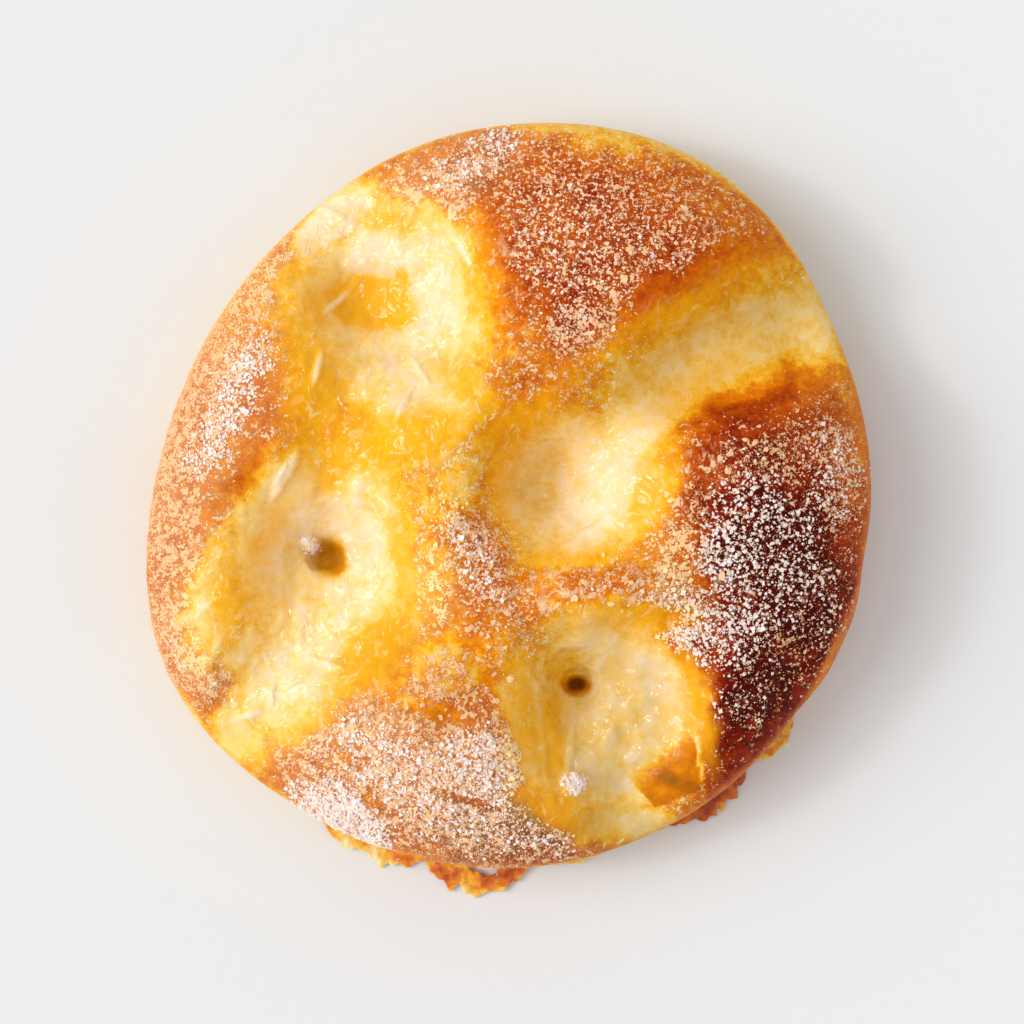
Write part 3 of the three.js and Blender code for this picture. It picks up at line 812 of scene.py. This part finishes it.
def caramel_flake(flake, seed):
    """A thin ragged sheet of run-out caramel, gripped under the foot and lying on the floor."""
    reach = flake.reach * MM
    columns = round((flake.end - flake.start) * 3)
    rows = 26
    bpy.ops.object.select_all(action="DESELECT")
    bpy.ops.mesh.primitive_grid_add(x_subdivisions=columns, y_subdivisions=rows, size=1)
    piece = bpy.context.view_layer.objects.active
    grid = places_of(piece)
    along = grid[:, 0] + 0.5
    out = grid[:, 1] + 0.5
    at = np.stack([along * columns, out * 0, np.full(len(grid), seed * 3.1)], 1)
    bulge = np.sin(np.clip(along, 0.02, 0.98) * math.pi) ** 0.45
    ragged = 0.74 + 0.26 * bumps(at, 7) + 0.22 * bumps(at, 3.2, 5.5) + 0.07 * bumps(at, 1.5, 8.5)
    angle = np.radians(flake.start + (flake.end - flake.start) * along)
    edge = outline_at(angle)
    past = -FLAKE_GRIP * MM + (reach * bulge * ragged + FLAKE_GRIP * MM) * out
    radius = edge + past
    places = np.stack([np.cos(angle) * radius, np.sin(angle) * radius, np.zeros(len(grid))], 1)
    places += np.array(dough_middle)
    millimetres = places / MM
    beyond = np.clip(past / reach, 0, 1)
    places[:, 2] = (1.5 - 0.75 * beyond + 0.5 * bumps(millimetres, 2.6, 9.1) * beyond) * MM
    places[:, 2] += 0.25 * bumps(millimetres, 1.1, 2.7) * MM
    places[:, 2] = np.maximum(places[:, 2], 0.55 * MM)
    move_to(piece, places)
    only(piece)
    bpy.ops.object.mode_set(mode="EDIT")
    bpy.ops.mesh.select_all(action="SELECT")
    bpy.ops.mesh.flip_normals()
    bpy.ops.object.mode_set(mode="OBJECT")
    lace = bumps(millimetres, 1.9, 13.3) + 0.6 * bumps(millimetres, 0.9, 1.3)
    holes = (lace > 1.1 - 0.35 * beyond) & (beyond > 0.3)
    if flake.gap:
        first, last = flake.gap
        turned = (np.degrees(angle) - first) / (last - first)
        opening = 0.42 * reach * np.clip(np.minimum(turned, (1 - turned) * 4), 0, 1)
        frayed = 0.06 * reach * bumps(millimetres, 1.6, 4.9)
        holes |= (opening > 0) & (past > -2 * MM) & (past + frayed < opening)
    tone = flake.browned + 0.28 * bumps(millimetres, 3.2, 8.2) - 0.36 * fade(beyond, 0.45, 1.0)
    paint(piece, "bake", np.clip(tone, 0.1, 1))
    select_vertices(piece, holes)
    bpy.ops.mesh.delete(type="VERT")
    bpy.ops.object.mode_set(mode="OBJECT")
    apply_modifier(piece, "SOLIDIFY", thickness=FLAKE_THICKNESS * MM, offset=-1)
    apply_modifier(piece, "SUBSURF", levels=1, render_levels=1)
    return piece


def caramel_flakes():
    pieces = [caramel_flake(flake, number) for number, flake in enumerate(FLAKES)]
    only(pieces[0])
    for piece in pieces:
        piece.select_set(True)
    bpy.ops.object.join()
    flakes = bpy.context.view_layer.objects.active
    flakes.name = "caramel_flakes"
    flakes.data.shade_smooth()
    return flakes


# Materials


def linear(red, green, blue):
    """A colour as a screen shows it, as the light that it stands for."""
    shares = (channel / 255 for channel in (red, green, blue))
    return tuple(s / 12.92 if s <= 0.04045 else ((s + 0.055) / 1.055) ** 2.4 for s in shares) + (1.0,)


CREAM = linear(246, 222, 186)
PALE_YELLOW = linear(249, 210, 123)
GOLDEN = linear(244, 178, 32)
ORANGE = linear(220, 122, 4)
ORANGE_BROWN = linear(188, 80, 3)
BROWN = linear(138, 32, 3)
MAHOGANY = linear(74, 8, 3)
AMBER_GLAZE = linear(249, 176, 8)
SHRED_CREAM = linear(253, 234, 196)
SHRED_GOLD = linear(255, 228, 152)
# The olive brown of the painted shade in the deep places
DULL_SHADE_BROWN = linear(150, 112, 24)
SUGAR_CRUST = linear(242, 198, 148)
SUGAR_DUST = linear(238, 190, 118)
WHITE_SUGAR = linear(250, 238, 231)
TOASTED_SUGAR = linear(250, 202, 156)
ROSY_SUGAR = linear(252, 197, 148)
SOAKED_SUGAR = linear(255, 222, 148)

# What the darker grains keep of red, green and blue
YELLOWING = (0.92, 0.83, 0.77)
TOASTING = (0.96, 0.82, 0.66)


class Nodes:
    """A material's nodes, added and linked by short calls."""

    def __init__(self, name):
        self.material = bpy.data.materials.new(name)
        self.material.use_nodes = True
        self.tree = self.material.node_tree
        self.shader = self.tree.nodes["Principled BSDF"]

    def link(self, source, target):
        self.tree.links.new(source, target)

    def set(self, socket, value):
        if isinstance(value, bpy.types.NodeSocket):
            self.link(value, socket)
        else:
            socket.default_value = value

    def finish(self, **values):
        """Sets the shader's sockets, given with _ for each space."""
        for name, value in values.items():
            self.set(self.shader.inputs[name.replace("_", " ")], value)

    def attribute(self, name):
        node = self.tree.nodes.new("ShaderNodeAttribute")
        node.attribute_name = name
        return node.outputs["Fac"]

    def object_places(self):
        return self.tree.nodes.new("ShaderNodeTexCoord").outputs["Object"]

    def noise(
        self, length, detail=2.0, roughness=0.5, distortion=0.0, shift=0.0, stretch=1.0, turn=0.0
    ):
        """Noise with bumps of this length, drawn out along Y turned by so many degrees."""
        placed = self.tree.nodes.new("ShaderNodeMapping")
        placed.vector_type = "TEXTURE"
        self.link(self.object_places(), placed.inputs["Vector"])
        placed.inputs["Location"].default_value = (shift, shift, shift)
        placed.inputs["Rotation"].default_value = (0, 0, math.radians(turn))
        placed.inputs["Scale"].default_value = (1, stretch, 2.5)
        node = self.tree.nodes.new("ShaderNodeTexNoise")
        self.link(placed.outputs["Vector"], node.inputs["Vector"])
        node.inputs["Scale"].default_value = 1 / length
        node.inputs["Detail"].default_value = detail
        node.inputs["Roughness"].default_value = roughness
        node.inputs["Distortion"].default_value = distortion
        return node.outputs["Fac"]

    def math(self, operation, first, second=0.0):
        node = self.tree.nodes.new("ShaderNodeMath")
        node.operation = operation
        self.set(node.inputs[0], first)
        self.set(node.inputs[1], second)
        return node.outputs[0]

    def between(self, value, start, end, low=0.0, high=1.0):
        node = self.tree.nodes.new("ShaderNodeMapRange")
        node.interpolation_type = "SMOOTHSTEP"
        self.set(node.inputs["Value"], value)
        node.inputs["From Min"].default_value = start
        node.inputs["From Max"].default_value = end
        node.inputs["To Min"].default_value = low
        node.inputs["To Max"].default_value = high
        return node.outputs["Result"]

    def islands(self, amount, pattern, barest=0.76, gain=0.3, edge=0.03):
        """1 on islands of the pattern, which grow and join as the amount goes from 0 to 1."""
        threshold = self.math("SUBTRACT", barest, self.math("MULTIPLY", amount, gain))
        return self.between(self.math("SUBTRACT", pattern, threshold), -edge, edge)

    def mix(self, share, first, second):
        node = self.tree.nodes.new("ShaderNodeMix")
        node.data_type = "RGBA"
        self.set(node.inputs["Factor"], share)
        self.set(node.inputs["A"], first)
        self.set(node.inputs["B"], second)
        return node.outputs["Result"]

    def ramp(self, value, stops):
        node = self.tree.nodes.new("ShaderNodeValToRGB")
        elements = node.color_ramp.elements
        while len(elements) < len(stops):
            elements.new(0.5)
        for element, (place, colour) in zip(elements, stops):
            element.position = place
            element.color = colour
        self.link(value, node.inputs["Fac"])
        return node.outputs["Color"]

    def bump(self, height, distance, strength=1.0):
        node = self.tree.nodes.new("ShaderNodeBump")
        node.inputs["Distance"].default_value = distance
        self.set(node.inputs["Strength"], strength)
        self.link(height, node.inputs["Height"])
        return node.outputs["Normal"]


BAKING = [
    (0.0, CREAM),
    (0.17, PALE_YELLOW),
    (0.33, GOLDEN),
    (0.47, ORANGE),
    (0.64, ORANGE_BROWN),
    (0.82, BROWN),
    (1.0, MAHOGANY),
]


def dough_material():
    """Browned crust with amber glaze, pale shreds and painted sugar, under a wet coat in the hollows."""
    nodes = Nodes("baked_dough")
    bake = nodes.attribute("bake")
    wet = nodes.attribute("wet")

    # Baked colour, mottled and wrinkled
    mottle = nodes.noise(2.2 * MM, 5, 0.68)
    depth = nodes.between(wet, 0.2, 0.8, 0.075, 0.07)
    mottled = nodes.math("MULTIPLY", nodes.between(mottle, 0.28, 0.72, -1.0, 1.0), depth)
    wrinkles = nodes.noise(1.1 * MM, 3, 0.55, 1.0, shift=0.8)
    fine_depth = nodes.between(wet, 0.2, 0.8, 0.04, 0.03)
    wrinkled = nodes.math("MULTIPLY", nodes.between(wrinkles, 0.32, 0.68, 1.0, -1.0), fine_depth)
    crust = nodes.ramp(nodes.math("ADD", bake, nodes.math("ADD", mottled, wrinkled)), BAKING)

    # Amber glaze and shreds, and over them painted shade that makes the deep places duller
    streaks = nodes.between(nodes.noise(2.8 * MM, 4, 0.62, 1.2, shift=0.25), 0.36, 0.56, 0.8, 1.0)
    glazed = nodes.mix(nodes.math("MULTIPLY", nodes.attribute("amber"), streaks), crust, AMBER_GLAZE)
    upright = nodes.noise(1.3 * MM, 2, 0.5, 0.6, shift=0.3, stretch=2.4, turn=12)
    leaning = nodes.noise(1.3 * MM, 2, 0.5, 0.6, shift=0.5, stretch=2.4, turn=-48)
    shreds = nodes.between(nodes.math("MAXIMUM", upright, leaning), 0.58, 0.68)
    bunched = nodes.between(nodes.noise(4.5 * MM, 2, 0.5, shift=0.6), 0.4, 0.6, 0.3, 1.0)
    torn = nodes.math("MULTIPLY", nodes.attribute("shredded"), bunched)
    shreds = nodes.math("MULTIPLY", shreds, torn)
    shred_colour = nodes.mix(nodes.attribute("amber"), SHRED_CREAM, SHRED_GOLD)
    shredded = nodes.mix(nodes.math("MULTIPLY", shreds, 0.8), glazed, shred_colour)
    shade_dulled = nodes.mix(nodes.math("MULTIPLY", nodes.attribute("dull_shade"), 0.3), shredded, DULL_SHADE_BROWN)

    # Sugar as dust, scabs and crystals
    grit = nodes.math("SUBTRACT", nodes.noise(0.45 * MM, 2, 0.5, shift=0.1), 0.5)
    grit = nodes.math("MULTIPLY", grit, 0.55)
    crumbly = nodes.math("ADD", nodes.noise(1.5 * MM, 4, 0.65, shift=0.4), grit)
    scabs = nodes.islands(nodes.attribute("frost"), crumbly, barest=0.78)
    sparkle = nodes.noise(0.7 * MM, 3, 0.6, shift=0.7)
    crystals = nodes.islands(nodes.attribute("specks"), sparkle, gain=0.24)
    whiteness = nodes.between(nodes.attribute("sugar"), 0.42, 0.85)
    soaked = nodes.between(nodes.attribute("soaked"), 0.25, 0.7)
    grain = nodes.mix(soaked, nodes.mix(whiteness, TOASTED_SUGAR, WHITE_SUGAR), SOAKED_SUGAR)
    scab = nodes.mix(soaked, SUGAR_CRUST, SOAKED_SUGAR)
    dusted = nodes.mix(nodes.math("MULTIPLY", nodes.attribute("dust"), 0.24), shade_dulled, SUGAR_DUST)
    frosted = nodes.mix(nodes.math("MULTIPLY", scabs, 0.9), dusted, scab)
    colour = nodes.mix(nodes.math("MULTIPLY", crystals, 0.95), frosted, grain)

    # Relief of the crust, and of the wet coat over it
    ripples = nodes.noise(3.2 * MM, 1, 0.5, 0.8, shift=0.9)
    rough = nodes.math("ADD", scabs, nodes.math("ADD", shreds, nodes.math("MULTIPLY", wrinkles, 0.4)))
    wavy = nodes.bump(nodes.math("ADD", nodes.math("MULTIPLY", ripples, 0.6), rough), 0.15 * MM, 0.8)
    glossy = nodes.bump(nodes.math("ADD", ripples, nodes.math("MULTIPLY", wrinkles, 0.06)), 3 * MM, 0.8)
    nodes.finish(Base_Color=colour, Roughness=0.5, Specular_IOR_Level=0.05, Normal=wavy)
    nodes.finish(Coat_Weight=nodes.between(wet, 0.15, 0.8), Coat_Roughness=0.03, Coat_Normal=glossy)
    return nodes.material


def sugar_material(name, colour, darker):
    """Grains of this colour, and some that keep only these shares of its red, green and blue."""
    nodes = Nodes(name)
    tint = nodes.noise(2.2 * MM, 3)
    shade = tuple(channel * share for channel, share in zip(colour, darker)) + (1.0,)
    uneven_tone = nodes.mix(nodes.between(tint, 0.35, 0.65), colour, shade)
    soaked = nodes.between(nodes.attribute("soaked"), 0.05, 0.45)
    nodes.finish(Base_Color=nodes.mix(soaked, uneven_tone, SOAKED_SUGAR))
    nodes.finish(Roughness=0.4, Specular_IOR_Level=0.3)
    return nodes.material


def caramel_material():
    nodes = Nodes("caramel")
    mottle = nodes.noise(1.6 * MM, 4, 0.65)
    bake = nodes.math("ADD", nodes.attribute("bake"), nodes.between(mottle, 0.25, 0.75, -0.14, 0.14))
    nodes.finish(Base_Color=nodes.ramp(bake, BAKING), Roughness=0.4)
    nodes.finish(Coat_Weight=0.6, Coat_Roughness=0.15)
    nodes.finish(Normal=nodes.bump(mottle, 0.3 * MM, 0.6))
    nodes.finish(Subsurface_Weight=0.4, Subsurface_Radius=(1.0, 0.5, 0.15), Subsurface_Scale=1.2 * MM)
    return nodes.material


def floor_material():
    nodes = Nodes("pale_floor")
    speckle = nodes.noise(1.5 * MM, 2)
    pale = (0.735, 0.735, 0.735, 1)
    paler = (0.75, 0.75, 0.75, 1)
    nodes.finish(Base_Color=nodes.mix(speckle, pale, paler), Roughness=0.8, Specular_IOR_Level=0.1)
    return nodes.material


# Studio

FLOOR_WIDTH = 4
LIGHT_FROM = Vector((-0.77, 0.06, 0.64))
SKY_LIGHT = 0.74
MIRRORED_LIGHT = 0.2


def set_up_studio():
    bpy.ops.object.select_all(action="DESELECT")
    bpy.ops.mesh.primitive_plane_add(size=FLOOR_WIDTH)
    floor = bpy.context.view_layer.objects.active
    floor.name = "floor"
    floor.data.materials.append(floor_material())

    def lamp(name, strength, width):
        light = bpy.data.lights.new(name, "SUN")
        light.energy = strength
        light.angle = math.radians(width)
        holder = bpy.data.objects.new(name, light)
        holder.rotation_euler = (-LIGHT_FROM).to_track_quat("-Z", "Y").to_euler()
        bpy.context.scene.collection.objects.link(holder)

    lamp("key", strength=1.6, width=42)
    lamp("glint", strength=0.46, width=9)

    world = bpy.data.worlds.new("studio")
    world.use_nodes = True
    tree = world.node_tree
    background = tree.nodes["Background"]
    background.inputs["Color"].default_value = (1, 1, 1, 1)
    # What the wet dough mirrors is darker than the light that falls on it, as under a camera
    strength = tree.nodes.new("ShaderNodeMapRange")
    strength.inputs["To Min"].default_value = SKY_LIGHT
    strength.inputs["To Max"].default_value = MIRRORED_LIGHT
    mirrored = tree.nodes.new("ShaderNodeLightPath").outputs["Is Glossy Ray"]
    tree.links.new(mirrored, strength.inputs["Value"])
    tree.links.new(strength.outputs["Result"], background.inputs["Strength"])
    bpy.context.scene.world = world
    bpy.context.scene.view_settings.view_transform = "Standard"


def set_up_camera():
    camera = bpy.data.cameras.new("camera")
    camera.lens = LENS
    camera.sensor_width = SENSOR
    holder = bpy.data.objects.new("camera", camera)
    x, y = PICTURE_MIDDLE
    holder.location = dough_middle + Vector((x, y, WIDEST_HEIGHT + CAMERA_DISTANCE))
    bpy.context.scene.collection.objects.link(holder)
    bpy.context.scene.camera = holder


# The whole brioche


def finish_piece(piece, material):
    piece.data.materials.clear()
    piece.data.materials.append(material)
    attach(piece, "root")


dough = raise_dough()
refine_hollows(dough)
shape_crust(dough)
flatten_base(dough)
colour_dough(dough)
dough.data.shade_smooth()
finish_piece(dough, dough_material())
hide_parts("brioche")

places = places_of(dough)
picture = seen_from_above(places)
upward = fade(normals_of(dough)[:, 2], 0.2, 0.5)
sugar = painted(dough, "sugar")
frost = painted(dough, "frost")
dry = 1 - fade(painted(dough, "wet"), 0.3, 0.6)
crisp = 1 - 0.85 * fade(painted(dough, "soaked"), 0.15, 0.6)
crystal = shape_of(bpy.ops.mesh.primitive_cube_add)
speck = shape_of(bpy.ops.mesh.primitive_cone_add, vertices=3, end_fill_type="NGON")
lump = shape_of(bpy.ops.mesh.primitive_ico_sphere_add, subdivisions=2)

density = WHITE_GRAIN.density * fade(sugar, 0.45, 1.1) + CLUMP_DENSITY * cover(picture, CLUMPS)
white = scatter(dough, "white_sugar", crystal, WHITE_GRAIN, density)
finish_piece(white, sugar_material("white_sugar", WHITE_SUGAR, YELLOWING))
density = TOASTED_GRAIN.density * fade(frost, 0.48, 1.1) * crisp
toasted = scatter(dough, "toasted_sugar", speck, TOASTED_GRAIN, density)
finish_piece(toasted, sugar_material("toasted_sugar", TOASTED_SUGAR, TOASTING))
density = FINE_GRAIN.density * fade(np.maximum(frost, painted(dough, "specks")), 0.45, 0.95) * crisp
fine = scatter(dough, "fine_sugar", speck, FINE_GRAIN, density)
finish_piece(fine, sugar_material("fine_sugar", ROSY_SUGAR, TOASTING))
density = SUGAR_LUMP.density * cover(picture, LUMPY) * dry * upward
clumps = scatter(dough, "sugar_clumps", lump, SUGAR_LUMP, density)
finish_piece(clumps, sugar_material("sugar_clumps", TOASTED_SUGAR, TOASTING))

finish_piece(caramel_flakes(), caramel_material())

set_up_studio()
set_up_camera()
